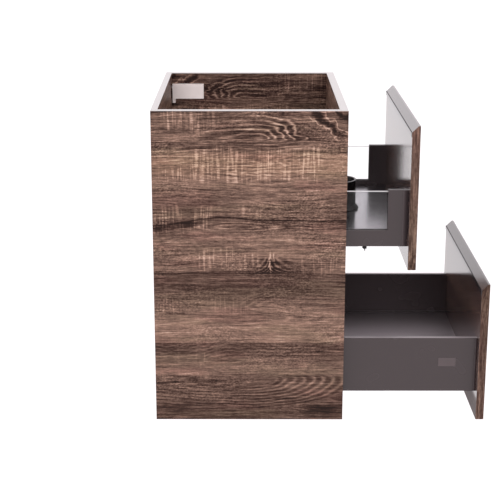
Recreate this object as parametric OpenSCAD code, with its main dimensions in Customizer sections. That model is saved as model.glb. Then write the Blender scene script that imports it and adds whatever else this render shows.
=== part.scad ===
// Wall-hung bathroom vanity cabinet with two metal-sided drawers, shown with both drawers part open.
// X runs across the width, the front faces -Y, the wall plane is y = 0 and +Z is up.
// The origin is the middle of the cabinet's bottom edge, on the wall plane.

/* [Cabinet] */
// Outer width of the carcass
cabinet_w = 600; // [500:10:1200]
// Depth of the side panels
cabinet_d = 475; // [470:5:560]
// Height of the side panels
cabinet_h = 800; // [760:10:860]
// Thickness of the side panels and the bottom panel
board_t = 18; // [16:1:19]
// Thickness of the top front rail
front_rail_t = 20; // [16:1:22]
// Thickness of the back rails and the middle rail
back_rail_t = 16; // [15:1:18]
// Height of the top rails
rail_h = 100; // [90:5:120]
// Height of the lower back rail
low_rail_h = 120; // [60:5:150]
// Height of the rail behind the gap between the fronts
mid_rail_h = 68; // [50:2:70]
// Thickness of the edge bands on the top edges
band_t = 1; // [0.5:0.5:2]

/* [Fronts] */
// Thickness of a drawer front
front_t = 20; // [18:1:22]
// Legs of the 45 degree bevel along a front's inner top edge
bevel = 15; // [8:1:16]
// Finger gap above each front
finger_gap = 38; // [30:1:45]
// How far a front ends inside the carcass on each side
front_reveal = 1.5; // [0.5:0.5:3]
// Gap between a closed front and the carcass
closed_gap = 3; // [2.5:0.5:4]
// Height of the dark strip below the bevel
strip_h = 12; // [6:1:16]
// Thickness of that strip
strip_t = 2; // [1:0.5:2]

/* [Drawers] */
// How far the upper drawer is pulled out
upper_pull = 151; // [0:1:390]
// How far the lower drawer is pulled out
lower_pull = 338; // [0:1:390]
// Length of the drawer sides
drawer_l = 400; // [350:10:400]
// Height of the drawer sides
wall_h = 144; // [120:2:160]
// Thickness of the drawer sides over both skins
wall_t = 13; // [13:0.5:16]
// Gap between a side panel and a drawer side
wall_gap = 12.5; // [11:0.5:14]
// Height of the upper drawer's bottom edge above its front's bottom edge
upper_lift = 53; // [50:1:70]
// Height of the lower drawer's bottom edge above its front's bottom edge
lower_lift = 66; // [50:1:80]
// Thickness of the drawer bottoms and backs
floor_t = 16; // [15:1:18]
// Height of the steel rail under the glass panes
glass_rail_h = 42; // [38:1:60]
// Length of the steel post in front of a glass pane
post_l = 50; // [30:2:80]
// Thickness of the glass panes
glass_t = 8; // [6:0.5:8.5]

/* [Siphon cut-out] */
// Outer radius of the surround's round end
siphon_r = 42; // [35:1:120]
// Distance from the front's inner face to the surround
siphon_gap = 108; // [90:2:160]
// Height of the surround above the drawer bottom
siphon_h = 78; // [50:2:95]

/* [Runners] */
// Length of the cabinet members
runner_l = 400; // [350:10:400]
// Length of the middle members
slide_l = 340; // [280:10:340]
// How far the upper middle members stand out of the carcass
upper_slide_out = 33; // [0:1:60]
// How far the lower middle members stand out of the carcass
lower_slide_out = 106; // [40:1:120]

/* [Hangers] */
// Length of a hanger housing
hanger_l = 80; // [70:1:90]
// Height of a hanger housing
hanger_h = 40; // [36:1:44]
// Depth of a hanger housing across the cabinet
hanger_w = 20; // [18:1:24]
// Distance from the cabinet's top edge to the housing
hanger_drop = 30; // [28:1:32]

/* [Hidden] */
$fn = 48;
left = -1;
right = 1;
hair = 0.1; // clearance where two fixed pieces fit together

// Carcass
inner_w = cabinet_w - 2 * board_t;
front_h = (cabinet_h - 2 * finger_gap) / 2;
panel_top = cabinet_h - band_t;
rail_z = cabinet_h - rail_h;
dowel_r = 4;
dowel_in_side = 10;
dowel_in_rail = 20;

// Fronts and drawers: y of each front's inner face, z of each drawer's bottom edge
upper_y = -cabinet_d - closed_gap - upper_pull;
lower_y = -cabinet_d - closed_gap - lower_pull;
upper_front_z = front_h + finger_gap;
upper_z = upper_front_z + upper_lift;
lower_z = lower_lift;
front_w = cabinet_w - 2 * front_reveal;

// Drawer side section: u from its outer skin inwards, v from its bottom edge up
wall_u = board_t + wall_gap;
skin = 1.5;
web_v = 15.5;
ledge_v = 10;
ledge_w = 9;
lip_w = 5.5;
floor_v = ledge_v + skin;
floor_top = floor_v + floor_t;
groove_v = glass_rail_h - 8;
groove_side = (wall_t - glass_t) / 2 - hair;
glass_top = wall_h - 4;
rear_post_l = 20;
floor_w = cabinet_w - 2 * (wall_u + wall_t + hair);

// Runner section, on the drawer side's centre line
runner_mid = wall_t / 2;
channel_w = 8.4;
channel_skin = 1.2;
channel_slot = 4.4;
head_w = 5;
neck_w = 2.6;
runner_v = -4;
runner_front = -cabinet_d + 5;

// Fixings
screw_r = 2;
screw_head_r = 3.5;
bracket_v = [50, 130];
bracket_holes = [65, 115];
runner_holes = [30, 190, 350];

// Latch levers under the upper drawer
latch_y = upper_y + 103;
latch_u = wall_u + wall_t + 21.5;
latch_pin_r = 2;
latch_arm_l = 18;
latch_arm_w = 9;
latch_arm_h = 5;
latch_arm_v = -11.2;

// Hangers
hanger_y = -back_rail_t - 10.5;
hanger_z = cabinet_h - hanger_drop - hanger_h;
hanger_skin = 2;
flange_l = 8;
flange_h = 52;
hook_u = board_t + 4;
hook_w = 12;
hook_z = hanger_z + 30;
hook_h = 5;
plate_u = board_t + 3;
plate_w = 36;
plate_hole_x = [9, 27];
plate_t = 3;
plate_z = [hanger_z, hanger_z + 46];

// Cover caps on the lower drawer sides
cap_l = 44;
cap_h = 22.6;
cap_y = 53;
cap_v = 68;

wood = [0.42, 0.33, 0.28];
metal = [0.36, 0.33, 0.33];

// Low x of a slab du wide whose outer face is u inside the carcass's outer face
function slab_x(side, u, du) = side < 0 ? -cabinet_w / 2 + u : cabinet_w / 2 - u - du;
// x of a point u inside the carcass's outer face
function at_u(side, u) = side * (cabinet_w / 2 - u);

// A box from y[0] to y[1] and z[0] to z[1], du wide, u inside the carcass's outer face
module slab(side, u, du, y, z)
  translate([slab_x(side, u, du), y[0], z[0]]) cube([du, y[1] - y[0], z[1] - z[0]]);

// A cylinder along X from u to u + len inside the carcass's outer face
module rod_x(side, u, len, y, z, r)
  translate([slab_x(side, u, len), y, z]) rotate([0, 90, 0]) cylinder(h = len, r = r);

// A cylinder along Y from y to y + len
module rod_y(x, y, z, len, r)
  translate([x, y, z]) rotate([-90, 0, 0]) cylinder(h = len, r = r);

// ---------- Carcass ----------

// y and z of every dowel, the same on both sides
front_dowels = [for (z = [rail_z + 20, panel_top - 20]) [-cabinet_d + front_rail_t / 2, z]];
middle_dowels = [for (z = [front_h + 18, front_h + mid_rail_h - 18]) [-cabinet_d + back_rail_t / 2, z]];
back_dowels = [for (z = [rail_z + 12, panel_top - 10]) [-back_rail_t / 2, z]];
low_dowels = [for (z = [30, low_rail_h - 30]) [-back_rail_t / 2, z]];
floor_dowels = [for (y = [-cabinet_d + 35, -cabinet_d / 2, -60]) [y, board_t / 2]];
all_dowels = concat(front_dowels, middle_dowels, back_dowels, low_dowels, floor_dowels);

// Blind holes for dowels, from the side panel's inner face both ways
module dowel_holes(places)
  for (side = [left, right], p = places)
    rod_x(side, board_t - dowel_in_side - hair, dowel_in_side + dowel_in_rail + 2 * hair,
          p[0], p[1], dowel_r + hair / 2);

module carcass_dowels() color("burlywood")
  for (side = [left, right], p = all_dowels)
    rod_x(side, board_t - dowel_in_side, dowel_in_side + dowel_in_rail, p[0], p[1], dowel_r);

module side_panel(side) color(wood) difference() {
  slab(side, 0, board_t, [-cabinet_d, 0], [0, panel_top]);
  dowel_holes(all_dowels);
  for (z = [upper_z, lower_z], y = runner_holes)
    rod_x(side, board_t - 12, 13, runner_front + y, z + 12, screw_r + hair / 2);
  for (y = hanger_fix_y)
    rod_x(side, board_t - 12, 13, y, hanger_z + 10, screw_r + hair / 2);
}

// A rail between the side panels
module rail(y, z, places) color(wood) difference() {
  translate([-inner_w / 2, y[0], z[0]]) cube([inner_w, y[1] - y[0], z[1] - z[0]]);
  dowel_holes(places);
}

module bottom_panel() rail([-cabinet_d, -back_rail_t], [0, board_t], floor_dowels);
module top_front_rail() rail([-cabinet_d, -cabinet_d + front_rail_t], [rail_z, panel_top], front_dowels);
module middle_rail()
  rail([-cabinet_d, -cabinet_d + back_rail_t], [front_h, front_h + mid_rail_h], middle_dowels);
module lower_back_rail() rail([-back_rail_t, 0], [0, low_rail_h], low_dowels);

// The top back rail is notched at each end for the wall plate
module top_back_rail() color(wood) difference() {
  rail([-back_rail_t, 0], [rail_z, panel_top], back_dowels);
  for (side = [left, right])
    slab(side, board_t - 1, plate_w + 6, [-back_rail_t - 1, 1], [plate_z[0] - 2, plate_z[1] + 2]);
}

module top_edge_bands() color([0.82, 0.80, 0.82]) {
  for (side = [left, right]) slab(side, 0, board_t, [-cabinet_d, 0], [panel_top, cabinet_h]);
  for (y = [[-cabinet_d, -cabinet_d + front_rail_t], [-back_rail_t, 0]])
    translate([-inner_w / 2, y[0], panel_top]) cube([inner_w, y[1] - y[0], band_t]);
}

// ---------- Hangers ----------

hanger_fix_y = [hanger_y - 18, hanger_y - hanger_l + 18];

module hanger(side) color("white") difference() {
  union() {
    slab(side, board_t, hanger_w, [hanger_y - hanger_l, hanger_y], [hanger_z, hanger_z + hanger_h]);
    slab(side, board_t, hanger_w, [hanger_y, hanger_y + flange_l],
         [hanger_z + hanger_h - flange_h, hanger_z + hanger_h]);
  }
  slab(side, board_t + hanger_skin, hanger_w - 2 * hanger_skin,
       [hanger_y - hanger_l + hanger_skin, hanger_y],
       [hanger_z + hanger_skin, hanger_z + hanger_h - hanger_skin]);
  slab(side, hook_u - 0.5, hook_w + 1, [hanger_y - 1, hanger_y + flange_l + 1],
       [hook_z - 1, hook_z + hook_h + 1]);
  for (y = hanger_fix_y)
    rod_x(side, board_t - 1, hanger_skin + 2, y, hanger_z + 10, screw_r + hair / 2);
  rod_y(at_u(side, hook_u + hook_w / 2), hanger_y - hanger_l - 1, hanger_z + 20,
        hanger_skin + 2, screw_head_r + hair);
}

// Steel hook: a bar out of the housing, through the back rail's notch, down behind the plate's lip
module hook(side) color("silver") difference() {
  union() {
    slab(side, hook_u, hook_w, [hanger_y - 70, -4.4], [hook_z, hook_z + hook_h]);
    slab(side, hook_u, hook_w, [-6.8, -4.4], [hanger_z + 23, hook_z + hook_h]);
    slab(side, hook_u, hook_w, [hanger_y - 70, hanger_y - 58], [hanger_z + 13, hook_z + hook_h]);
  }
  rod_y(at_u(side, hook_u + hook_w / 2), hanger_y - 71, hanger_z + 20, 14, screw_r + hair / 2);
}

// Fixing screws into the side panels and one depth screw in each housing
module hanger_screws() color("gainsboro") for (side = [left, right]) {
  for (y = hanger_fix_y) {
    rod_x(side, board_t - 11, 11 + hanger_skin, y, hanger_z + 10, screw_r);
    rod_x(side, board_t + hanger_skin, 2, y, hanger_z + 10, screw_head_r);
  }
  rod_y(at_u(side, hook_u + hook_w / 2), hanger_y - hanger_l, hanger_z + 20, 2, screw_head_r);
  rod_y(at_u(side, hook_u + hook_w / 2), hanger_y - hanger_l + 2, hanger_z + 20, 24, screw_r);
}

// Plate on the wall, with a shelf and a lip that the hook drops behind
module wall_plate(side) color("silver") difference() {
  union() {
    slab(side, plate_u, plate_w, [-plate_t, 0], plate_z);
    slab(side, plate_u, plate_w, [-9.2, -plate_t], [hanger_z + 21, hanger_z + 23]);
    slab(side, plate_u, plate_w, [-9.2, -7.2], [hanger_z + 23, hanger_z + 28]);
  }
  for (x = plate_hole_x) rod_y(at_u(side, plate_u + x), -plate_t - 1, hanger_z + 8, plate_t + 2, 2.75);
}

// ---------- Runners ----------

// A box on the drawer side's section, u and v as that section has them
module part_slab(side, u, v, y, z0) slab(side, wall_u + u[0], u[1] - u[0], y, [z0 + v[0], z0 + v[1]]);

// A channel with lips that turn in over its slot: base at v[0], lips at v[1], or the other way up
module channel(side, y, z0, base, lips) {
  low = min(base[0], lips[0]);
  high = max(base[1], lips[1]);
  part_slab(side, [runner_mid - channel_w / 2, runner_mid + channel_w / 2], base, y, z0);
  for (e = [-1, 1]) {
    outer = runner_mid + e * channel_w / 2;
    inner = outer - e * channel_skin;
    tip = runner_mid + e * channel_slot / 2;
    part_slab(side, [min(outer, inner), max(outer, inner)], [low, high], y, z0);
    part_slab(side, [min(outer, tip), max(outer, tip)], lips, y, z0);
  }
}

module cabinet_runner(side, z0) color("lightslategray") difference() {
  y = [runner_front, runner_front + runner_l];
  union() {
    channel(side, y, z0, [runner_v, runner_v + skin], [4, 5]);
    part_slab(side, [-wall_gap, runner_mid], [runner_v, runner_v + skin], y, z0);
    part_slab(side, [-wall_gap, -wall_gap + skin], [runner_v, 22], y, z0);
  }
  for (h = runner_holes)
    rod_x(side, board_t - 1, skin + 2, runner_front + h, z0 + 12, screw_r + hair / 2);
}

module runner_screws() color("gainsboro")
  for (side = [left, right], z0 = [upper_z, lower_z], h = runner_holes) {
    rod_x(side, board_t - 11, 11 + skin, runner_front + h, z0 + 12, screw_r);
    rod_x(side, board_t + skin, 2, runner_front + h, z0 + 12, 2 * screw_r);
  }

// The middle member runs in the cabinet member below it and carries the drawer member above it
module middle_runner(side, z0, out) color("silver") {
  y = [-cabinet_d - out, -cabinet_d - out + slide_l];
  for (v = [[-2, 3.2], [8, 13.4]])
    part_slab(side, [runner_mid - head_w / 2, runner_mid + head_w / 2], v, y, z0);
  part_slab(side, [runner_mid - neck_w / 2, runner_mid + neck_w / 2], [3.2, 8], y, z0);
}

module drawer_rail(side, y0, z0) color("lightslategray")
  channel(side, [y0 + 2, y0 + drawer_l - 2], z0, [web_v - skin, web_v], [6, 7]);

// ---------- Drawers ----------

// A front: square at the bottom, bevelled along the inner top edge, with pilot holes
module drawer_front(y0, z0, side_z) color(wood) difference() {
  translate([-front_w / 2, y0, z0]) rotate([90, 0, 90]) linear_extrude(front_w)
    polygon([[-front_t, 0], [0, 0], [0, front_h - bevel], [-bevel, front_h], [-front_t, front_h]]);
  for (side = [left, right], v = bracket_holes)
    rod_y(at_u(side, bracket_u), y0 - 12, side_z + v, 13, screw_r + hair / 2);
}

module grip_strip(y0, z0) color([0.16, 0.14, 0.14])
  translate([-front_w / 2, y0, z0 + front_h - bevel - strip_h]) cube([front_w, strip_t, strip_h]);

// What every drawer side has: two skins up to top, the web over the runner, the ledge and the lip
module side_section(side, y0, z0, top) {
  y = [y0, y0 + drawer_l];
  part_slab(side, [0, skin], [0, top], y, z0);
  part_slab(side, [wall_t - skin, wall_t], [0, top], y, z0);
  part_slab(side, [0, wall_t], [web_v, web_v + skin], y, z0);
  part_slab(side, [wall_t - skin, wall_t + ledge_w], [ledge_v, floor_v], y, z0);
  part_slab(side, [wall_t - skin, wall_t + lip_w], [floor_top + hair, floor_top + hair + skin],
            [y0, y0 + drawer_l - floor_t - hair], z0);
}

// A hollow post as tall as the drawer side, closed towards the glass
module post(side, y, glass_end, z0) {
  part_slab(side, [0, skin], [0, wall_h], y, z0);
  part_slab(side, [wall_t - skin, wall_t], [0, wall_h], y, z0);
  part_slab(side, [0, wall_t], [wall_h - skin, wall_h], y, z0);
  part_slab(side, [0, wall_t], [groove_v, wall_h], glass_end, z0);
}

module upper_side(side) color(metal) {
  y = [upper_y, upper_y + drawer_l];
  front_post = [y[0], y[0] + post_l];
  rear_post = [y[1] - rear_post_l, y[1]];
  side_section(side, upper_y, upper_z, glass_rail_h);
  part_slab(side, [0, wall_t], [groove_v, groove_v + skin], y, upper_z);
  for (u = [[0, groove_side], [wall_t - groove_side, wall_t]])
    part_slab(side, u, [groove_v, glass_rail_h], y, upper_z);
  post(side, front_post, [front_post[1] - skin, front_post[1]], upper_z);
  post(side, rear_post, [rear_post[0], rear_post[0] + skin], upper_z);
}

module upper_glass(side) color([0.75, 0.82, 0.82, 0.4])
  part_slab(side, [(wall_t - glass_t) / 2, (wall_t + glass_t) / 2], [groove_v + skin, glass_top],
            [upper_y + post_l + hair, upper_y + drawer_l - rear_post_l - hair], upper_z);

module lower_side(side) color(metal) difference() {
  union() {
    side_section(side, lower_y, lower_z, wall_h);
    part_slab(side, [0, wall_t], [wall_h - skin, wall_h], [lower_y, lower_y + drawer_l], lower_z);
  }
  part_slab(side, [-1, skin + 1], [cap_v - hair, cap_v + cap_h + hair],
            [lower_y + cap_y - hair, lower_y + cap_y + cap_l + hair], lower_z);
}

module lower_cover_caps() color([0.42, 0.38, 0.38])
  for (side = [left, right])
    part_slab(side, [-0.3, 1.3], [cap_v, cap_v + cap_h],
              [lower_y + cap_y, lower_y + cap_y + cap_l], lower_z);

// The U of the siphon cut-out at radius r, open to the back, from v[0] to v[1]
module siphon_u(r, v, back) {
  centre = upper_y + siphon_gap + siphon_r;
  translate([0, centre, upper_z + v[0]]) cylinder(h = v[1] - v[0], r = r, $fn = 96);
  translate([-r, centre, upper_z + v[0]]) cube([2 * r, back - centre, v[1] - v[0]]);
}

siphon_t = 3;
back_end = upper_y + drawer_l;
foot_w = 8;
foot_v = [floor_top, floor_top + 4];
foot_slope_h = 9;

// Surround: a thin U wall through the drawer bottom, with a sloped foot that rests on it
module siphon_surround() color([0.10, 0.10, 0.11]) difference() {
  centre = upper_y + siphon_gap + siphon_r;
  union() {
    siphon_u(siphon_r, [floor_v, floor_top + siphon_h], back_end);
    siphon_u(siphon_r + foot_w, foot_v, back_end - floor_t - hair);
    translate([0, centre, upper_z + foot_v[1]])
      cylinder(h = foot_slope_h, r1 = siphon_r + foot_w, r2 = siphon_r, $fn = 96);
    translate([0, centre, upper_z + foot_v[1]]) rotate([-90, 0, 0])
      linear_extrude(back_end - floor_t - hair - centre)
        polygon([[-siphon_r - foot_w, 0], [siphon_r + foot_w, 0],
                 [siphon_r, -foot_slope_h], [-siphon_r, -foot_slope_h]]);
  }
  siphon_u(siphon_r - siphon_t, [floor_v - 1, floor_top + siphon_h + 1], back_end + 1);
}

// Pale trim on the surround's top edge
module surround_trim() color([0.75, 0.73, 0.74]) difference() {
  v = [floor_top + siphon_h, floor_top + siphon_h + 2];
  siphon_u(siphon_r + 0.5, v, back_end - floor_t - hair);
  siphon_u(siphon_r - siphon_t - 0.5, [v[0] - 1, v[1] + 1], back_end);
}

module drawer_floor(y0, z0)
  translate([-floor_w / 2, y0 + hair, z0 + floor_v]) cube([floor_w, drawer_l - hair, floor_t]);

module upper_bottom() color(metal) difference() {
  drawer_floor(upper_y, upper_z);
  siphon_u(siphon_r + hair, [floor_v - 1, floor_top + 1], back_end + 1);
}

module lower_bottom() color(metal) drawer_floor(lower_y, lower_z);

module upper_back(side) color(metal) {
  inner = cabinet_w / 2 - siphon_r - hair;
  u = (cabinet_w - floor_w) / 2;
  slab(side, u, inner - u, [back_end - floor_t, back_end], [upper_z + floor_top, upper_z + wall_h]);
}

module lower_back() color(metal)
  translate([-floor_w / 2, lower_y + drawer_l - floor_t, lower_z + floor_top])
    cube([floor_w, floor_t, wall_h - floor_top]);

// Brackets inside the drawer sides that hold a front
bracket_u = wall_u + 7;

module front_brackets(y0, z0) color("lightslategray") for (side = [left, right]) difference() {
  union() {
    part_slab(side, [skin, wall_t - 2], bracket_v, [y0, y0 + 2], z0);
    part_slab(side, [skin, 2 * skin], bracket_v, [y0, y0 + 25], z0);
  }
  for (v = bracket_holes) rod_y(at_u(side, bracket_u), y0 - 1, z0 + v, 4, screw_r + hair / 2);
}

module front_screws(y0, z0) color("gainsboro") for (side = [left, right], v = bracket_holes) {
  rod_y(at_u(side, bracket_u), y0 - 11, z0 + v, 13, screw_r);
  rod_y(at_u(side, bracket_u), y0 + 2, z0 + v, 2, screw_head_r);
}

// ---------- Latches under the upper drawer ----------

module latch_base(side) color([0.15, 0.15, 0.16]) translate([at_u(side, latch_u), latch_y, upper_z]) {
  translate([-12, -12, floor_v - 3]) cube([24, 24, 3]);
  translate([0, 0, latch_arm_v - 3.3]) cylinder(h = floor_v - latch_arm_v + 1, r = latch_pin_r);
  translate([0, 0, latch_arm_v - 4.8]) cylinder(h = 1.5, r = latch_pin_r + 1.2);
}

// The lever turns on the base's pin; its arm points at the drawer side and ends in a short stem
module latch_lever(side) color([0.12, 0.12, 0.13])
  translate([at_u(side, latch_u), latch_y, upper_z]) difference() {
    union() {
      translate([0, 0, latch_arm_v - 3]) cylinder(h = 20, r = latch_pin_r + 3);
      translate([side > 0 ? 0 : -latch_arm_l, -latch_arm_w / 2, latch_arm_v])
        cube([latch_arm_l, latch_arm_w, latch_arm_h]);
      translate([side > 0 ? latch_arm_l - 3 : -latch_arm_l, -1.25, latch_arm_v - 5]) cube([3, 2.5, 6]);
    }
    translate([0, 0, latch_arm_v - 4]) cylinder(h = 22, r = latch_pin_r + hair / 2);
  }

// ---------- Nodes ----------

side_panel(left);  // side_panel_left
side_panel(right);  // side_panel_right
bottom_panel();
top_front_rail();
middle_rail();
top_back_rail();
lower_back_rail();
top_edge_bands();
carcass_dowels();
hanger(left);  // hanger_left
hanger(right);  // hanger_right
hook(left);  // hook_left
hook(right);  // hook_right
hanger_screws();
wall_plate(left);  // wall_plate_left
wall_plate(right);  // wall_plate_right
cabinet_runner(left, upper_z);  // upper_runner_left
cabinet_runner(right, upper_z);  // upper_runner_right
cabinet_runner(left, lower_z);  // lower_runner_left
cabinet_runner(right, lower_z);  // lower_runner_right
runner_screws();
middle_runner(left, upper_z, upper_slide_out);  // upper_slide_left
middle_runner(right, upper_z, upper_slide_out);  // upper_slide_right
middle_runner(left, lower_z, lower_slide_out);  // lower_slide_left
middle_runner(right, lower_z, lower_slide_out);  // lower_slide_right
drawer_front(upper_y, upper_front_z, upper_z);  // upper_front
grip_strip(upper_y, upper_front_z);  // upper_grip_strip
upper_side(left);  // upper_side_left
upper_side(right);  // upper_side_right
upper_glass(left);  // upper_glass_left
upper_glass(right);  // upper_glass_right
upper_bottom();
upper_back(left);  // upper_back_left
upper_back(right);  // upper_back_right
siphon_surround();
surround_trim();
drawer_rail(left, upper_y, upper_z);  // upper_drawer_rail_left
drawer_rail(right, upper_y, upper_z);  // upper_drawer_rail_right
front_brackets(upper_y, upper_z);  // upper_front_brackets
front_screws(upper_y, upper_z);  // upper_front_screws
latch_base(left);  // latch_base_left
latch_base(right);  // latch_base_right
latch_lever(left);  // latch_lever_left
latch_lever(right);  // latch_lever_right
drawer_front(lower_y, 0, lower_z);  // lower_front
grip_strip(lower_y, 0);  // lower_grip_strip
lower_side(left);  // lower_side_left
lower_side(right);  // lower_side_right
lower_bottom();
lower_back();
lower_cover_caps();
drawer_rail(left, lower_y, lower_z);  // lower_drawer_rail_left
drawer_rail(right, lower_y, lower_z);  // lower_drawer_rail_right
front_brackets(lower_y, lower_z);  // lower_front_brackets
front_screws(lower_y, lower_z);  // lower_front_screws
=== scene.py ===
"""Wall-hung bathroom vanity cabinet: materials, small detail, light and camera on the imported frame.

Metres throughout. The wall plane is y = 0, the front faces -Y, and the camera stands on the -X side.
"""

import bmesh
import bpy
import math
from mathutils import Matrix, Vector


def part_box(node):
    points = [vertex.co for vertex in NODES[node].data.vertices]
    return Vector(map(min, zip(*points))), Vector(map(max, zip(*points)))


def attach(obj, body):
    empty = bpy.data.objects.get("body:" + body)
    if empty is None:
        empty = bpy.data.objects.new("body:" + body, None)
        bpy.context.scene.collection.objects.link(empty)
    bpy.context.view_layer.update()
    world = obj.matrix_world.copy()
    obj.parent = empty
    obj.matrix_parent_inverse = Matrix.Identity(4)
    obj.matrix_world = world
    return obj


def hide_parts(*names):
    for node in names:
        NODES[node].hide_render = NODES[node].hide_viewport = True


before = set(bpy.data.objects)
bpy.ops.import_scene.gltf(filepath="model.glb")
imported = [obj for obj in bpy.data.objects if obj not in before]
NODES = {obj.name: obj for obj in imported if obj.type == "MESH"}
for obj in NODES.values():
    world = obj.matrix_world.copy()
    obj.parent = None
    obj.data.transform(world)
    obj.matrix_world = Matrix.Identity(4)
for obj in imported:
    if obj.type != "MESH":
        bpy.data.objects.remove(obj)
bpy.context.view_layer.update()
scene = bpy.context.scene
MM = 0.001

X, Y, Z = 0, 1, 2
CABINET_D = -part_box("side_panel_left")[0][Y]
# Width and height of the bevel along each front's upper inner edge
BEVEL = 15.0 * MM
LEVELS = ("upper", "lower")
# Each side's name and which way along X points out of the cabinet there
SIDES = (("left", -1), ("right", 1))


# ---------- Shader graph helper ----------

def srgb(r, g, b):
    """A colour given as 0-255 display values, in linear light."""
    def linear(c):
        c /= 255
        return c / 12.92 if c <= 0.04045 else ((c + 0.055) / 1.055) ** 2.4
    return (linear(r), linear(g), linear(b), 1.0)


class Graph:
    """A material's nodes, built by plain calls. A value is a number or a socket."""

    def __init__(self, name):
        self.material = bpy.data.materials.new(name)
        self.material.use_nodes = True
        self.tree = self.material.node_tree
        self.tree.nodes.clear()
        self.out = self.tree.nodes.new("ShaderNodeOutputMaterial")

    def node(self, kind, inputs=(), out=0, **settings):
        n = self.tree.nodes.new("ShaderNode" + kind)
        for key, value in settings.items():
            setattr(n, key, value)
        for key, value in dict(inputs).items():
            self.feed(n.inputs[key], value)
        return n.outputs[out]

    def feed(self, socket, value):
        if isinstance(value, bpy.types.NodeSocket):
            self.tree.links.new(value, socket)
        else:
            socket.default_value = value

    def math(self, operation, a, b=0.0, c=0.0):
        return self.node("Math", {0: a, 1: b, 2: c}, operation=operation)

    def add(self, *values):
        total = values[0]
        for value in values[1:]:
            total = self.math("ADD", total, value)
        return total

    def sub(self, a, b):
        return self.math("SUBTRACT", a, b)

    def mul(self, *values):
        total = values[0]
        for value in values[1:]:
            total = self.math("MULTIPLY", total, value)
        return total

    def rescale(self, value, low, high, to_low=0.0, to_high=1.0, smooth=True):
        """value from low..high to to_low..to_high, clamped."""
        return self.node("MapRange", {"Value": value, "From Min": low, "From Max": high,
                                      "To Min": to_low, "To Max": to_high},
                         interpolation_type="SMOOTHSTEP" if smooth else "LINEAR")

    def bell(self, value, centre, width):
        """1 at centre, falling to 0 over width on both sides."""
        away = self.math("ABSOLUTE", self.sub(value, centre))
        return self.rescale(away, 0.0, width, 1.0, 0.0)

    def band(self, value, low, high, soft):
        """1 between low and high, with soft edges."""
        return self.mul(self.rescale(value, low - soft, low + soft),
                        self.rescale(value, high - soft, high + soft, 1.0, 0.0))

    def vector(self, x, y, z=0.0):
        return self.node("CombineXYZ", {"X": x, "Y": y, "Z": z})

    def noise(self, vector, detail=2.0, roughness=0.5, scale=1.0):
        return self.node("TexNoise", {"Vector": vector, "Scale": scale, "Detail": detail,
                                      "Roughness": roughness})

    def ramp(self, value, stops):
        n = self.tree.nodes.new("ShaderNodeValToRGB")
        self.feed(n.inputs[0], value)
        ramp = n.color_ramp
        ramp.elements[0].position, ramp.elements[0].color = stops[0]
        ramp.elements[1].position, ramp.elements[1].color = stops[-1]
        for position, colour in stops[1:-1]:
            ramp.elements.new(position).color = colour
        return n.outputs[0]

    def mix(self, share, a, b, blend="MIX"):
        n = self.tree.nodes.new("ShaderNodeMix")
        n.data_type = "RGBA"
        n.blend_type = blend
        self.feed(n.inputs[0], share)
        self.feed(n.inputs[6], a)
        self.feed(n.inputs[7], b)
        return n.outputs[2]

    def bump(self, height, distance, strength=1.0):
        return self.node("Bump", {"Height": height, "Distance": distance, "Strength": strength})

    def principled(self, **inputs):
        """Names use _ for a space. The shader is also the material's output."""
        named = {key.replace("_", " "): value for key, value in inputs.items()}
        shader = self.node("BsdfPrincipled", named)
        self.tree.links.new(shader, self.out.inputs[0])
        return self.material

    def split(self, vector):
        """A vector's three components."""
        n = self.tree.nodes.new("ShaderNodeSeparateXYZ")
        self.feed(n.inputs[0], vector)
        return n.outputs

    def where(self):
        """The place in the frame, with every body at rest."""
        return self.node("TexCoord", out="Object")

    def place(self):
        """x, y and z of that place."""
        return self.split(self.where())

    def facing(self):
        """x, y and z of the surface's normal."""
        return self.split(self.node("NewGeometry", out="Normal"))


# ---------- Wood decor ----------

# A place on the decor is u along the grain and v across it, in metres from a board's lower corner.
# The decor's bands, as pairs of v and tone: 0 is the darkest tone and 1 the palest
BANDS = [(0.0, 0.30), (0.04, 0.33), (0.085, 0.37), (0.118, 0.40), (0.128, 0.54), (0.155, 0.52),
         (0.178, 0.36), (0.208, 0.32), (0.2095, 0.60), (0.262, 0.62), (0.288, 0.50), (0.312, 0.46),
         (0.325, 0.38), (0.388, 0.33), (0.391, 0.44), (0.43, 0.54), (0.48, 0.56), (0.52, 0.42),
         (0.56, 0.44), (0.60, 0.52), (0.64, 0.60), (0.69, 0.64), (0.705, 0.46), (0.75, 0.38),
         (0.80, 0.42)]
DECOR_H = 0.8
# Groups of saw marks: left, right, bottom and top, and how strong their broad and fine marks are
SAW_ZONES = [(0.100, 0.410, 0.625, 0.706, 1.0, 0.6), (0.022, 0.160, 0.746, 0.805, 0.8, 0.5),
             (0.000, 0.145, 0.500, 0.562, 0.30, 0.95), (0.215, 0.275, 0.534, 0.566, 0.7, 0.2),
             (0.110, 0.265, 0.402, 0.452, 0.9, 0.2), (0.020, 0.110, 0.625, 0.660, 0.1, 0.8),
             (0.118, 0.142, 0.156, 0.184, 1.0, 0.0), (0.140, 0.230, 0.292, 0.336, 0.35, 0.4),
             (0.360, 0.475, 0.398, 0.430, 0.3, 0.6), (0.015, 0.075, 0.285, 0.325, 0.0, 0.7)]
WOOD_COLOURS = [(0.0, srgb(30, 14, 8)), (0.25, srgb(66, 45, 37)), (0.5, srgb(106, 83, 72)),
                (0.75, srgb(148, 117, 101)), (1.0, srgb(194, 163, 146))]
# The dark colour of a painted shade on the faces turned into the cabinet
INSIDE_SHADE_COLOUR = srgb(50, 38, 40)
BOARD_ROUGH = 0.42


def grey(value):
    """A grey in linear light."""
    return (value, value, value, 1.0)


def thin_lines(g, phase, sharpness):
    """Thin pale lines, once per unit of phase, on a dark ground. The mean is near 0."""
    wave = g.add(g.mul(g.math("COSINE", g.mul(phase, 2 * math.pi)), 0.5), 0.5)
    return g.sub(g.math("POWER", wave, sharpness), 0.35)


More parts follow.
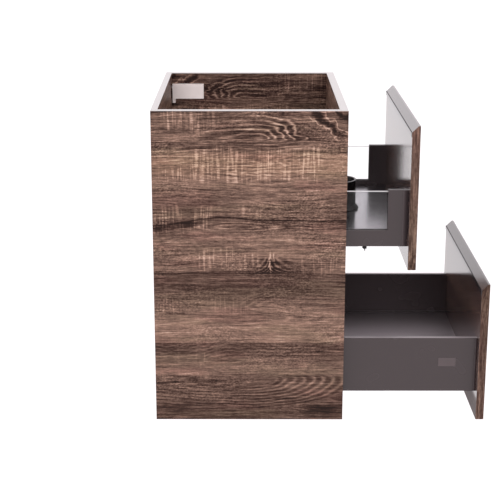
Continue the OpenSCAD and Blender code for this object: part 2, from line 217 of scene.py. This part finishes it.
def figure(g, u, v, centre, right, left, up, down, wobble):
    """Distance from a figure's centre, as a share of its reach on each of its four sides."""
    du, dv = g.sub(u, centre[0]), g.sub(v, centre[1])
    along = g.add(g.mul(g.math("MAXIMUM", du, 0.0), 1 / right),
                  g.mul(g.math("MINIMUM", du, 0.0), 1 / left))
    across = g.add(g.mul(g.math("MAXIMUM", dv, 0.0), 1 / up),
                   g.mul(g.math("MINIMUM", dv, 0.0), 1 / down))
    radius = g.math("SQRT", g.add(g.mul(along, along), g.mul(across, across)))
    return g.add(radius, wobble)


def board_place(g, place, facing, along, shift, flip, edge):
    """u and v on an upright board whose grain runs along X or Y.

    On the board's two end edges the grain runs upright, and edge moves the decor across them."""
    end = g.math("GREATER_THAN", g.math("ABSOLUTE", facing[along]), 0.6)
    face_u = g.add(g.mul(place[along], flip), shift[0])
    face_v = g.add(place[Z], shift[1])
    end_v = g.add(place[1 - along], edge)
    u = g.add(face_u, g.mul(end, g.sub(place[Z], face_u)))
    v = g.add(face_v, g.mul(end, g.sub(end_v, face_v)))
    return u, v


def wood(name, along, shift=(0.0, 0.0), flip=1.0, rough=BOARD_ROUGH, edge=0.0, ior=1.5, level=0.15,
         inside_shade=0.0, dull_below=0.0):
    """The decor on a board, with its figures moved by shift and mirrored where flip is -1.

    level is the shader's specular level. The inside share is a painted shade: it darkens the face
    turned to the back, or to the front where the share is below 0, and faces turned up take nearly
    all of the dark colour too. That face is dull below the height dull_below."""
    g = Graph(name)
    place, facing = g.place(), g.facing()
    through = 1 - along
    u, v = board_place(g, place, facing, along, shift, flip, edge)

    def field(scale_u, scale_v, pattern, detail=2.0, roughness=0.5, line=v):
        """Noise about 0, with about scale_u and scale_v features in a metre."""
        vector = g.vector(g.mul(u, scale_u), g.mul(line, scale_v), g.add(place[through], pattern))
        return g.sub(g.noise(vector, detail, roughness), 0.5)

    # the grain drifts up and down a little along the board
    grain_v = g.add(v, g.mul(field(3.0, 9.0, 0.0), 0.03))
    streak = field(7.0, 165.0, 0.0, 3.0, 0.68, grain_v)
    fibre = field(62.0, 380.0, 0.0, 2.0, 0.7, grain_v)
    pore = g.rescale(field(50.0, 600.0, 9.0, 1.0, 0.5, grain_v), 0.10, 0.2)
    coarse = field(14.0, 26.0, 8.2, 1.0)
    wiggle = field(38.0, 34.0, 2.2, 2.0, 0.55)

    value = g.add(
        plank_tone(g, u, v, field), grain(g, v, grain_v, field, streak, fibre, pore),
        growth_lines(g, field), saw_marks(g, u, v, field), seams(g, u, v),
        swirl(g, u, v, field, coarse), arcs(g, u, v, coarse, wiggle), eye(g, u, v, coarse),
        contours(g, u, v, wiggle), knot(g, u, v, wiggle), crack(g, u, v), corner(g, u, v, wiggle))
    colour = hues(g, g.ramp(value, WOOD_COLOURS), v, field)
    surface_rough = rough
    # Painted shade: faces turned into the cabinet, and faces turned up, are mixed toward a dark colour
    if inside_shade:
        back = g.math("GREATER_THAN", g.mul(facing[through], math.copysign(1.0, inside_shade)), 0.3)
        slope = g.math("GREATER_THAN", facing[Z], 0.3)
        share = g.math("MAXIMUM", g.mul(back, abs(inside_shade)), g.mul(slope, 0.96))
        colour = g.mix(share, colour, INSIDE_SHADE_COLOUR)
        dull = g.rescale(place[Z], dull_below - 0.025, dull_below, 0.7, 0.0)
        surface_rough = g.add(rough, g.mul(back, dull))
    height = g.add(g.mul(streak, 0.6), g.mul(fibre, 0.5), g.mul(pore, -0.4))
    relief = g.bump(height, 0.2 * MM, 0.3 * min(1.0, rough / BOARD_ROUGH))
    return g.principled(Base_Color=colour, Roughness=surface_rough, IOR=ior,
                        Specular_IOR_Level=level, Normal=relief)


def plank_tone(g, u, v, field):
    """The planks' tones. The bands stray up and down, except at two of the planks' joints."""
    joint = g.math("MAXIMUM", g.bell(v, 0.209, 0.03),
                   g.mul(g.bell(v, 0.390, 0.03), g.rescale(u, 0.33, 0.42, 1.0, 0.0)))
    stray = g.mul(field(5.0, 8.0, 6.0), 0.030)
    band_v = g.add(v, g.mul(stray, g.sub(1.0, joint)))
    return g.ramp(g.mul(band_v, 1 / DECOR_H), [(z / DECOR_H, grey(tone)) for z, tone in BANDS])


def grain(g, v, grain_v, field, streak, fibre, pore):
    """Fibres, from broad streaks down to fine ones, with short dark pores and speckled patches."""
    broad = field(3.6, 26.0, 3.1, 3.0, 0.6)
    thread = field(11.0, 330.0, 20.0, 1.0, 0.6, grain_v)
    speck = field(190.0, 310.0, 0.0, 1.0, 0.7)
    speck_share = g.rescale(field(6.0, 15.0, 5.0, 1.0), -0.06, 0.16, 0.25, 1.0)
    lines = g.add(g.mul(broad, 0.38), g.mul(streak, 0.95), g.mul(thread, 0.75), g.mul(fibre, 0.85),
                  g.mul(speck, speck_share), g.mul(pore, -0.10))
    # the upper planks have more contrast than the lower ones
    contrast = g.add(g.rescale(v, 0.388, 0.402, 0.74, 0.92), g.rescale(v, 0.66, 0.72, 0.0, 0.18))
    return g.mul(lines, contrast)


def growth_lines(g, field):
    """Contour lines of the growth rings, strong in places."""
    lines = thin_lines(g, g.mul(field(2.6, 19.0, 7.7, 2.0, 0.45), 17.0), 2.2)
    return g.mul(lines, g.rescale(field(5.0, 13.0, 1.3, 1.0), -0.04, 0.12), 0.16)


def saw_marks(g, u, v, field):
    """Pale saw marks across the grain, in groups, broken by the fibres."""
    broad = g.rescale(field(115.0, 9.0, 2.0, 1.0), 0.03, 0.16)
    thin = g.rescale(field(270.0, 16.0, 12.0, 0.0), 0.02, 0.2)
    ragged = g.mul(field(30.0, 10.0, 21.0, 1.0), 0.05)
    ragged_u, ragged_v = g.add(u, ragged), g.add(v, ragged)
    broad_shares, thin_shares = [0.06], [0.10]
    for left, right, low, high, broad_strength, thin_strength in SAW_ZONES:
        zone = g.mul(g.band(ragged_u, left, right, 0.012), g.band(ragged_v, low, high, 0.006))
        broad_shares.append(g.mul(zone, broad_strength))
        thin_shares.append(g.mul(zone, thin_strength))
    broken = g.rescale(field(40.0, 240.0, 0.4, 2.0, 0.7), -0.12, 0.10, 0.4, 1.0)
    marks = g.add(g.mul(broad, g.add(*broad_shares)), g.mul(thin, g.add(*thin_shares)))
    return g.mul(marks, broken, 0.30)


def hues(g, colour, v, field):
    """Olive and rosy patches, and a golden upper plank."""
    olive = g.rescale(field(4.0, 22.0, 11.0), 0.02, 0.16)
    rosy = g.rescale(field(5.0, 20.0, 17.0), 0.02, 0.16)
    golden = g.band(v, 0.640, 0.700, 0.02)
    colour = g.mix(g.mul(olive, 0.6), colour, (0.93, 1.0, 0.93, 1.0), "MULTIPLY")
    colour = g.mix(g.mul(rosy, 0.7), colour, (1.0, 0.90, 0.93, 1.0), "MULTIPLY")
    return g.mix(golden, colour, (1.0, 0.99, 0.92, 1.0), "MULTIPLY")


def swirl(g, u, v, field, coarse):
    """Nested arcs in the top plank, which close at the right and zigzag there."""
    jagged = g.mul(field(10.0, 42.0, 5.5, 2.0, 0.6), g.rescale(u, 0.22, 0.30), 0.090)
    reach = figure(g, g.add(u, jagged), v, centre=(0.262, 0.733), right=0.108, left=0.50, up=0.056,
                   down=0.020, wobble=g.mul(coarse, 0.12))
    share = g.mul(g.rescale(reach, 0.98, 1.10, 1.0, 0.0), g.rescale(u, 0.05, 0.22, 0.2, 1.0),
                  g.rescale(v, 0.722, 0.734))
    return g.mul(thin_lines(g, g.mul(reach, 5.2), 2.4), share, g.rescale(u, 0.22, 0.32, 0.34, 0.62))


def arcs(g, u, v, coarse, wiggle):
    """Nested arcs in the bottom plank, which hang down."""
    wobble = g.add(g.mul(wiggle, 0.05), g.mul(coarse, 0.09))
    reach = figure(g, u, v, centre=(0.235, 0.112), right=0.240, left=0.42, up=0.03, down=0.074,
                   wobble=wobble)
    share = g.mul(g.band(reach, 0.30, 1.08, 0.06), g.rescale(v, 0.112, 0.124, 1.0, 0.0),
                  g.rescale(u, 0.12, 0.32, 0.55, 1.0))
    return g.mul(thin_lines(g, g.mul(reach, 10.0), 1.6), share, 0.30)


def eye(g, u, v, coarse):
    """A flat closed figure in the plank below the saw marks."""
    reach = figure(g, u, v, centre=(0.205, 0.511), right=0.13, left=0.11, up=0.014, down=0.012,
                   wobble=g.mul(coarse, 0.3))
    share = g.rescale(reach, 0.9, 1.25, 1.0, 0.0)
    return g.mul(thin_lines(g, g.mul(reach, 2.5), 1.6), share, 0.30)


def seams(g, u, v):
    """Thin dark lines where two of the decor's planks meet."""
    upper = g.mul(g.bell(v, 0.3922, 0.0032), g.rescale(u, 0.30, 0.42, -0.24, 0.0))
    shade = g.mul(g.bell(v, 0.398, 0.012), g.band(u, 0.10, 0.36, 0.06), -0.10)
    lower = g.mul(g.bell(v, 0.2075, 0.0028), -0.10)
    return g.add(upper, shade, lower)


def contours(g, u, v, wiggle):
    """Growth lines in a dark plank, which step up to the right, and a blotch near the board's foot."""
    step = g.rescale(u, 0.06, 0.20, 0.0, 0.026)
    lines = thin_lines(g, g.add(g.mul(g.sub(v, step), 105.0), g.mul(wiggle, 1.6)), 1.5)
    share = g.mul(g.band(v, 0.168, 0.206, 0.006), g.rescale(u, 0.30, 0.475, 1.0, 0.5))
    uneven_v = g.add(v, g.mul(wiggle, 0.02))
    blotch = g.mul(g.bell(u, 0.425, 0.075), g.bell(uneven_v, 0.026, 0.026), -0.34)
    return g.add(g.mul(lines, share, 0.17), blotch)


def knot(g, u, v, wiggle):
    """A knot on a plank joint: pale upright streaks, with grain lines that sweep down beside them."""
    foot, middle = 0.3915, 0.288
    away = g.sub(u, middle)
    du = g.add(g.math("MAXIMUM", away, g.mul(away, -1.6)), 0.010)
    rise = g.add(g.sub(v, foot), 0.004)
    sweep = g.math("LOGARITHM", g.mul(rise, du, 6000.0), math.e)
    lines = thin_lines(g, g.add(g.mul(sweep, 1.5), g.mul(wiggle, 0.6)), 1.6)
    share = g.mul(g.rescale(du, 0.02, 0.085, 1.0, 0.0), g.band(v, foot + 0.001, foot + 0.040, 0.006))

    def upright(right, width, low, high, soft, bend):
        """A streak to the right of the middle, from low to high above the joint."""
        bent_u = g.add(u, g.mul(wiggle, bend))
        return g.mul(g.bell(bent_u, middle + right, width), g.band(v, foot + low, foot + high, soft))

    tall = upright(0.0, 0.0035, 0.004, 0.052, 0.010, 0.012)
    short = upright(0.011, 0.003, 0.030, 0.052, 0.006, 0.014)
    heart = upright(0.008, 0.006, 0.006, 0.034, 0.006, 0.02)
    return g.add(g.mul(lines, share, 0.46), g.mul(share, -0.20), g.mul(tall, 0.55),
                 g.mul(short, 0.45), g.mul(heart, -0.30))


def crack(g, u, v):
    """A long dark line that rises over a dark patch near the board's left end."""
    rise = g.mul(g.bell(u, 0.175, 0.10), 0.008)
    dip = g.mul(g.bell(u, 0.0, 0.12), 0.013)
    below = g.sub(g.sub(g.add(0.5275, rise), dip), v)
    thin = g.mul(g.bell(below, 0.0, 0.0030), g.rescale(u, 0.36, 0.46, -0.36, -0.16))
    soft = g.mul(g.bell(below, 0.003, 0.011), -0.10)
    patch = g.mul(g.band(below, 0.001, 0.016, 0.003), g.rescale(u, 0.08, 0.125, 1.0, 0.0), -0.34)
    return g.add(thin, soft, patch)


def corner(g, u, v, wiggle):
    """Dark and rosy blotches that lean down to the right, past the closed end of the swirl."""
    lean = g.add(g.mul(g.sub(u, 0.405), 0.85), g.sub(v, 0.785), g.mul(wiggle, 0.055))
    here = g.mul(g.band(u, 0.382, 0.480, 0.008), g.band(v, 0.728, 0.801, 0.010))
    dark = g.mul(g.bell(lean, 0.0, 0.014), g.band(u, 0.385, 0.445, 0.006), -0.50)
    rim = g.mul(g.add(g.bell(lean, 0.017, 0.005), g.bell(lean, -0.016, 0.005)), 0.40)
    second = g.mul(g.bell(lean, 0.050, 0.016), g.rescale(u, 0.425, 0.445), -0.52)
    foot = g.mul(g.bell(u, 0.455, 0.030), g.bell(v, 0.741, 0.012), -0.34)
    return g.mul(g.add(dark, rim, second, foot), here)


# ---------- Plain materials ----------

def mottled(name, colour, rough, spread=0.04, scale=60.0, **more):
    """A moulded, painted or coated finish, whose colour and roughness stray a little."""
    g = Graph(name)
    cloud = g.noise(g.where(), 0.5, scale=scale)
    shade = g.rescale(cloud, 0.0, 1.0, 1 - 2 * spread, 1 + 2 * spread, smooth=False)
    tinted = g.mix(1.0, colour, g.vector(shade, shade, shade), "MULTIPLY")
    return g.principled(Base_Color=tinted, Roughness=g.mul(shade, rough), **more)


def brushed(name, colour, rough, along=Y):
    """Bare metal with faint drawn lines along an axis."""
    g = Graph(name)
    waves_across, waves_along = 1500.0, 12.0
    scales = [waves_across] * 3
    scales[along] = waves_along
    lines = g.noise(g.vector(*[g.mul(at, scale) for at, scale in zip(g.place(), scales)]))
    shade = g.rescale(lines, 0.3, 0.7, 0.88, 1.08, smooth=False)
    tinted = g.mix(1.0, colour, g.vector(shade, shade, shade), "MULTIPLY")
    uneven = g.rescale(lines, 0.3, 0.7, rough * 0.8, rough * 1.2, smooth=False)
    return g.principled(Base_Color=tinted, Metallic=1.0, Roughness=uneven,
                        Normal=g.bump(lines, 0.03 * MM, 0.4))


def painted_end_shade(name, front, back):
    """Painted shade for a cap: as pale as the drawer side at its back end and nearly black at its front
    end, where the front overhangs it.
    """
    g = Graph(name)
    depth = g.rescale(g.place()[Y], front, back, smooth=False)
    shades = [(0.0, srgb(38, 30, 33)), (0.45, srgb(56, 47, 48)), (1.0, srgb(88, 79, 80))]
    cloud = g.noise(g.where(), scale=30.0)
    return g.principled(Base_Color=g.ramp(depth, shades), Specular_IOR_Level=0.1,
                        Roughness=g.rescale(cloud, 0.3, 0.7, 0.48, 0.54))


def glass(name):
    """Clear thin glass that doesn't bend light. Its tint strays a little."""
    g = Graph(name)
    cloud = g.noise(g.where(), 1.0, scale=20.0)
    tint = g.mix(cloud, (0.975, 0.985, 0.985, 1.0), (0.995, 1.0, 1.0, 1.0))
    return g.principled(Base_Color=tint, Roughness=0.0, IOR=1.0, Transmission_Weight=0.985)


def paint(targets, material):
    """Gives CAD nodes, by name, or objects this one material."""
    for target in targets:
        obj = NODES[target] if isinstance(target, str) else target
        obj.data.materials.clear()
        obj.data.materials.append(material)


def both(*names):
    """The left and the right node of each name."""
    return [f"{name}_{side}" for name in names for side, _ in SIDES]


# ---------- Materials on the nodes ----------

# Where the boards' end edges lie on the decor, and how far it is moved on the other boards
EDGE_V = 0.345
FRONT_SHIFT, RAIL_SHIFT, FLOOR_SHIFT = (0.40, 0.0), (0.9, 0.0), (1.4, 0.3)
left_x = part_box("side_panel_left")[0][X]
paint(["side_panel_left"], wood("decor_side", Y, flip=-1.0, edge=EDGE_V - left_x))
# The far side's face turned into the cabinet takes a painted shade
paint(["side_panel_right"], wood("decor_side_far", Y, shift=(CABINET_D, 0.0), edge=EDGE_V + left_x,
                                 inside_shade=-0.2))
for level in LEVELS:
    front_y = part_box(level + "_front")[0][Y]
    paint([level + "_front"], wood(f"decor_{level}_front", X, shift=FRONT_SHIFT, flip=-1.0,
                                   edge=EDGE_V - front_y))
paint(["top_front_rail", "middle_rail", "top_back_rail", "lower_back_rail"],
      wood("decor_rail", X, shift=RAIL_SHIFT))
paint(["bottom_panel"], wood("decor_floor", X, shift=FLOOR_SHIFT))

steel_grey = brushed("runner_grey", srgb(120, 120, 124), 0.38)
zinc = brushed("zinc", srgb(190, 192, 196), 0.32)
anthracite = mottled("anthracite_coat", srgb(50, 42, 43), 0.27, spread=0.02, scale=25.0, IOR=1.56,
                     Specular_Tint=(1.0, 0.93, 0.93, 1.0))
floor_grey = mottled("drawer_floor", srgb(142, 138, 144), 0.23, scale=5.0, Metallic=1.0)
floor_dull = mottled("lower_drawer_floor", srgb(150, 142, 146), 0.42, scale=5.0, Metallic=1.0)
black = mottled("black_plastic", srgb(18, 15, 17), 0.40, Specular_IOR_Level=0.3)
white = mottled("white_plastic", srgb(250, 240, 236), 0.35, spread=0.02)
# Pale top edge bands, their paleness in part a painted reflection of the bright surroundings
pale_edge_and_sheen = mottled("pale_edge_band", srgb(186, 182, 181), 0.30, spread=0.02)
strip_dark = mottled("dark_strip", srgb(44, 37, 39), 0.16, IOR=1.6)
# Black for the panes' held edges, and for a painted shadow in the gap under each front's bevel
black_edge_and_gap_shade = mottled("black_edge_and_gap_shade", srgb(20, 17, 18), 0.7, Specular_IOR_Level=0.1)
trim = mottled("surround_rim", srgb(96, 92, 94), 0.35)
cap = mottled("cap_plastic", srgb(78, 67, 68), 0.42)
# A little paler than the drawer side: a painted highlight line along the floor joint
lip_highlight_grey = mottled("lip_highlight_grey", srgb(58, 52, 54), 0.5, Specular_IOR_Level=0.3)
# A painted highlight along the tops of the lower drawer's sides
rolled_top_highlight = mottled("rolled_top_highlight", srgb(124, 112, 116), 0.3)
dowel = mottled("beech", srgb(196, 158, 116), 0.6)
clear = glass("pane")
ground_edge = mottled("pane_edge", srgb(205, 203, 204), 0.25, spread=0.02)

paint(both("upper_side", "lower_side", "upper_back") + ["lower_back"], anthracite)
paint(["upper_bottom"], floor_grey)
paint(["lower_bottom"], floor_dull)
paint(both("latch_base", "latch_lever") + ["siphon_surround"], black)
paint(["surround_trim"], trim)
paint(both("hanger"), white)
paint(["top_edge_bands"], pale_edge_and_sheen)
paint(["lower_cover_caps"], cap)
paint(["carcass_dowels"], dowel)
paint(both("hook", "wall_plate", "upper_slide", "lower_slide"), zinc)
paint(["hanger_screws", "runner_screws", "upper_front_brackets", "upper_front_screws",
       "lower_front_brackets", "lower_front_screws"], zinc)
paint(both("upper_runner", "lower_runner", "upper_drawer_rail", "lower_drawer_rail"), steel_grey)


def soften(name, width, segments=2):
    """Rounds the sharp edges of a CAD node by width."""
    modifier = NODES[name].modifiers.new("soft_edges", "BEVEL")
    modifier.width = width
    modifier.segments = segments
    modifier.limit_method = "ANGLE"
    modifier.angle_limit = math.radians(40)


BOARD_EDGE, METAL_EDGE = 0.4 * MM, 0.8 * MM
for name in both("side_panel") + ["top_front_rail", "middle_rail", "top_back_rail",
                                  "lower_back_rail", "bottom_panel", "upper_front", "lower_front"]:
    soften(name, BOARD_EDGE)
for name in both("hanger", "upper_side", "lower_side"):
    soften(name, METAL_EDGE, 3)


# ---------- Detailed pieces ----------

def prism(name, profile, axis, start, end, materials, pick=None):
    """A closed outline swept along an axis. profile holds pairs in the other two axes, in order.

    pick gives faces, by number, their material's number. The side faces come first, in the
    outline's order, then the face at the start and the one at the end."""
    mesh = bpy.data.meshes.new(name)
    others = [i for i in range(3) if i != axis]
    rings = []
    for along in (start, end):
        for a, b in profile:
            point = [0.0, 0.0, 0.0]
            point[axis], point[others[0]], point[others[1]] = along, a, b
            rings.append(point)
    n = len(profile)
    faces = [(i, (i + 1) % n, n + (i + 1) % n, n + i) for i in range(n)]
    faces += [tuple(reversed(range(n))), tuple(range(n, 2 * n))]
    mesh.from_pydata(rings, [], faces)
    build = bmesh.new()
    build.from_mesh(mesh)
    bmesh.ops.recalc_face_normals(build, faces=build.faces)
    build.to_mesh(mesh)
    build.free()
    for material in materials:
        mesh.materials.append(material)
    for face in mesh.polygons:
        face.material_index = (pick or {}).get(face.index, 0)
    obj = bpy.data.objects.new(name, mesh)
    scene.collection.objects.link(obj)
    return obj


def add_piece(obj, body, slot, *nodes):
    """Lets a piece ride on a body, in place of any CAD nodes named. slot is not used."""
    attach(obj, body)
    if nodes:
        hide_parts(*nodes)


def grip_lip(level):
    """The dark strip under a front's bevel, with a thin black band in its top back edge: a painted
    shadow in the gap under the bevel.
    """
    low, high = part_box(level + "_grip_strip")
    chamfer, front_rise, back_rise = 0.8 * MM, 1.0 * MM, 1.2 * MM
    gap_w, gap_h = 0.7 * MM, 1.0 * MM
    outline = [(low[Y], low[Z] + front_rise), (low[Y] + chamfer, low[Z]),
               (high[Y] - chamfer, low[Z]), (high[Y], low[Z] + back_rise),
               (high[Y], high[Z] - gap_h), (high[Y] - gap_w, high[Z]), (low[Y], high[Z])]
    gap_shade_faces = {4: 1, 5: 1}
    return prism(level + "_grip_lip", outline, X, low[X], high[X], [strip_dark, black_edge_and_gap_shade],
                 gap_shade_faces)


def front_laminate(level, material):
    """A thin skin on a front's inner face, bevel and top, rooted a little way into the board."""
    low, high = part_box(level + "_front")
    skin, root, fold = 0.3 * MM, 0.5 * MM, 0.2 * MM
    end_gap, front_gap = 0.4 * MM, 0.6 * MM
    inner, top, foot = high[Y], high[Z], low[Z] + end_gap
    turn, front = top - BEVEL, low[Y] + front_gap
    outline = [(inner - root, foot), (inner + skin, foot), (inner + skin, turn),
               (inner - BEVEL, top + skin), (front, top + skin), (front, top - root),
               (inner - BEVEL - fold, top - root), (inner - root, turn - fold)]
    return prism(level + "_front_laminate", outline, X, low[X] + end_gap, high[X] - end_gap,
                 [material])


def shaded_end_sheet(level, side, out, reach, material):
    """A thin sheet on the outside of a drawer side, where it meets the front, that carries a painted
    shade.
    """
    low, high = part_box(f"{level}_side_{side}")
    proud, root_in, chamfer, front_gap, margin = 0.25 * MM, 0.5 * MM, 0.2 * MM, 0.2 * MM, 1.0 * MM
    face = low[X] if out < 0 else high[X]
    root, skin = face - root_in * out, face + proud * out
    shoulder = skin - chamfer * out
    foot, top = low[Z] + margin, high[Z] - margin
    outline = [(root, foot), (shoulder, foot), (skin, foot + chamfer), (skin, top - chamfer),
               (shoulder, top), (root, top)]
    return prism(f"{level}_shaded_end_sheet_{side}", outline, Y, low[Y] + front_gap, low[Y] + reach,
                 [material])


def floor_lip(side, out):
    """A slim lip along the joint between the lower drawer's floor and its side, a little paler than the
    side: a painted highlight line along the joint.
    """
    low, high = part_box("lower_bottom")
    wall, floor_top = high[X] * out, high[Z]
    front_gap, back_gap = 1.0 * MM, 17.0 * MM
    # each point's distance in from the wall and its rise above the floor
    steps = [(0.0, 0.0), (3.2, 0.0), (3.0, 0.8), (1.2, 3.4), (0.0, 4.0)]
    outline = [(wall - inward * MM * out, floor_top + rise * MM) for inward, rise in steps]
    return prism(f"lower_floor_lip_{side}", outline, Y, low[Y] + front_gap, high[Y] - back_gap,
                 [lip_highlight_grey])


def side_top(side, out):
    """The rolled top of the lower drawer's side, pale as a painted highlight."""
    low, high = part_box(f"lower_side_{side}")
    face = low[X] if out < 0 else high[X]
    proud, depth, shoulder, round_w, end_gap = 0.3 * MM, 1.0 * MM, 0.5 * MM, 0.6 * MM, 0.4 * MM
    outer, inner, top = face - 0.6 * MM * out, face - 12.4 * MM * out, high[Z] + proud
    outline = [(outer, top - depth), (outer, top - shoulder), (outer - round_w * out, top),
               (inner + round_w * out, top), (inner, top - shoulder), (inner, top - depth)]
    return prism(f"lower_side_top_{side}", outline, Y, low[Y] + end_gap, high[Y] - end_gap,
                 [rolled_top_highlight])


def pane(side):
    """A clear pane with chamfered edges: pale and ground at the top, black where the metal holds it."""
    low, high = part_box("upper_glass_" + side)
    chamfer = 0.9 * MM
    outline = [(low[X] + chamfer, low[Z]), (high[X] - chamfer, low[Z]), (high[X], low[Z] + chamfer),
               (high[X], high[Z] - chamfer), (high[X] - chamfer, high[Z]),
               (low[X] + chamfer, high[Z]), (low[X], high[Z] - chamfer), (low[X], low[Z] + chamfer)]
    ground, black_edge = 1, 2
    edges = {0: black_edge, 1: black_edge, 3: ground, 4: ground, 5: ground, 7: black_edge,
             8: black_edge, 9: black_edge}
    return prism("glass_pane_" + side, outline, Y, low[Y], high[Y],
                 [clear, ground_edge, black_edge_and_gap_shade], edges)


# How far back the sheets of painted shade reach from each drawer's front
CAP_REACH = {"upper": 13.0 * MM, "lower": 4.5 * MM}
# Below this height the laminate on the lower front is dull, under the drawer's sides
DULL_BELOW = {"upper": 0.0, "lower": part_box("lower_side_left")[0][Z]}
for level in LEVELS:
    drawer = level + "_drawer"
    add_piece(grip_lip(level), drawer, "dark_strip", level + "_grip_strip")
    # The fronts' inner faces take a painted shade
    laminate = wood(level + "_inside", X, shift=FRONT_SHIFT, flip=-1.0, rough=0.14, ior=2.2,
                    level=0.5, inside_shade=0.6, dull_below=DULL_BELOW[level])
    add_piece(front_laminate(level, laminate), drawer, "wood_decor")
    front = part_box(level + "_side_left")[0][Y]
    # Painted shade on each drawer side next to its front
    shade_sheet_material = painted_end_shade(level + "_shaded_end_sheet", front, front + CAP_REACH[level])
    for side, out in SIDES:
        add_piece(shaded_end_sheet(level, side, out, CAP_REACH[level], shade_sheet_material), drawer,
                  "black_plastic")

for side, out in SIDES:
    add_piece(floor_lip(side, out), "lower_drawer", "drawer_metal")
    add_piece(side_top(side, out), "lower_drawer", "drawer_metal")
    add_piece(pane(side), "upper_drawer", "pane_glass", "upper_glass_" + side)


# ---------- Floor, light and camera ----------

FLOOR_Z, FLOOR_REACH = -1.0, 14.0
corners = [(-1, -1), (1, -1), (1, 1), (-1, 1)]
floor_mesh = bpy.data.meshes.new("floor")
floor_mesh.from_pydata([(x * FLOOR_REACH, y * FLOOR_REACH, FLOOR_Z) for x, y in corners], [],
                       [(0, 1, 2, 3)])
floor = bpy.data.objects.new("floor", floor_mesh)
scene.collection.objects.link(floor)
paint([floor], mottled("pale_floor", (0.94, 0.94, 0.94, 1.0), 0.9, spread=0.005, scale=2.0))

SKY_COLOUR, SKY_STRENGTH = (1.0, 0.962, 0.985, 1.0), 1.27
world = bpy.data.worlds.new("studio")
scene.world = world
world.use_nodes = True
background = world.node_tree.nodes["Background"]
background.inputs["Color"].default_value = SKY_COLOUR
background.inputs["Strength"].default_value = SKY_STRENGTH
scene.view_settings.view_transform = "Standard"

LAMP_WATTS, LAMP_W, LAMP_H = 8.0, 2.6, 1.8
LAMP_PLACE, LAMP_AIM = (-2.4, -1.9, 2.6), (0.0, -0.3, 0.4)
lamp_data = bpy.data.lights.new("soft_box", "AREA")
lamp_data.shape = "RECTANGLE"
lamp_data.size, lamp_data.size_y = LAMP_W, LAMP_H
lamp_data.energy = LAMP_WATTS
lamp = bpy.data.objects.new("soft_box", lamp_data)
scene.collection.objects.link(lamp)
lamp.location = LAMP_PLACE
lamp.rotation_mode = "QUATERNION"
lamp.rotation_quaternion = (Vector(LAMP_AIM) - Vector(LAMP_PLACE)).to_track_quat("-Z", "Y")

LENS_MM, SENSOR_MM = 90.4, 36.0
CAMERA_PLACE, CAMERA_SHIFT = (-3.26, -0.243, 1.35), (0.003, -0.06)
PITCH, YAW = math.radians(15.5), math.radians(0.15)
camera_data = bpy.data.cameras.new("camera")
camera_data.lens = LENS_MM
camera_data.sensor_width = SENSOR_MM
camera_data.shift_x, camera_data.shift_y = CAMERA_SHIFT
camera = bpy.data.objects.new("camera", camera_data)
scene.collection.objects.link(camera)
scene.camera = camera
camera.location = CAMERA_PLACE
look = Vector((math.cos(PITCH) * math.cos(YAW), math.cos(PITCH) * math.sin(YAW), -math.sin(PITCH)))
camera.rotation_mode = "QUATERNION"
camera.rotation_quaternion = look.to_track_quat("-Z", "Y")
